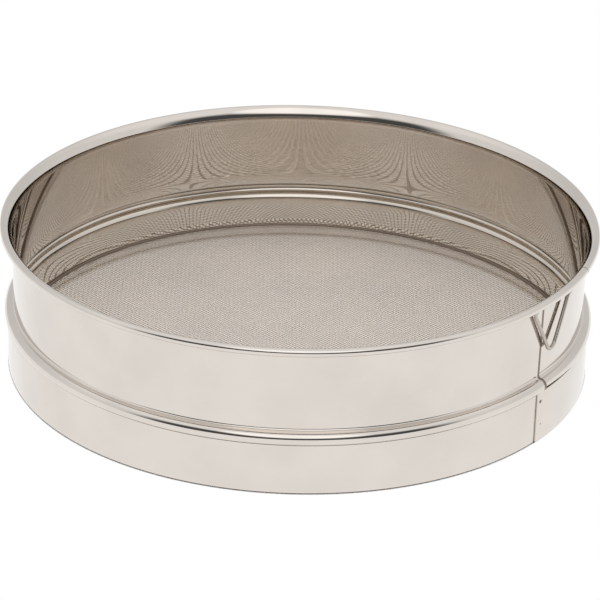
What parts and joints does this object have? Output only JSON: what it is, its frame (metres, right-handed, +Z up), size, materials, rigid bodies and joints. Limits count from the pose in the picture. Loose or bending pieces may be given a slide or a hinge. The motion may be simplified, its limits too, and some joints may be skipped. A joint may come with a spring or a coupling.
{
  "type": "drum sieve",
  "caption": "Round stainless steel rim sieve: a beaded drum with a wired edge, woven wire cloth held by a clamp ring, and a hinged wire loop to hang it by.",
  "frame": {"origin": "on the table, on the sieve's axis", "axes": "+Z up along the sieve's axis, +X towards the hanging loop"},
  "size_m": [0.3047, 0.3047, 0.0778],
  "materials": {
    "polished_steel": "polished",
    "wire_steel": "drawn"
  },
  "bodies": {
    "sieve": {"drum": "polished_steel", "clamp_ring": "polished_steel", "mesh_cloth": "wire_steel", "rim_wire": "wire_steel"},
    "loop": {"hanging_loop": "wire_steel"}
  },
  "joints": [
    {"name": "loop_hinge", "type": "hinge", "parent": "sieve", "child": "loop", "pos_m": [0.14975, 0, 0.0757], "axis": [0, -1, 0], "range_deg": [-1, 14]}
  ]
}
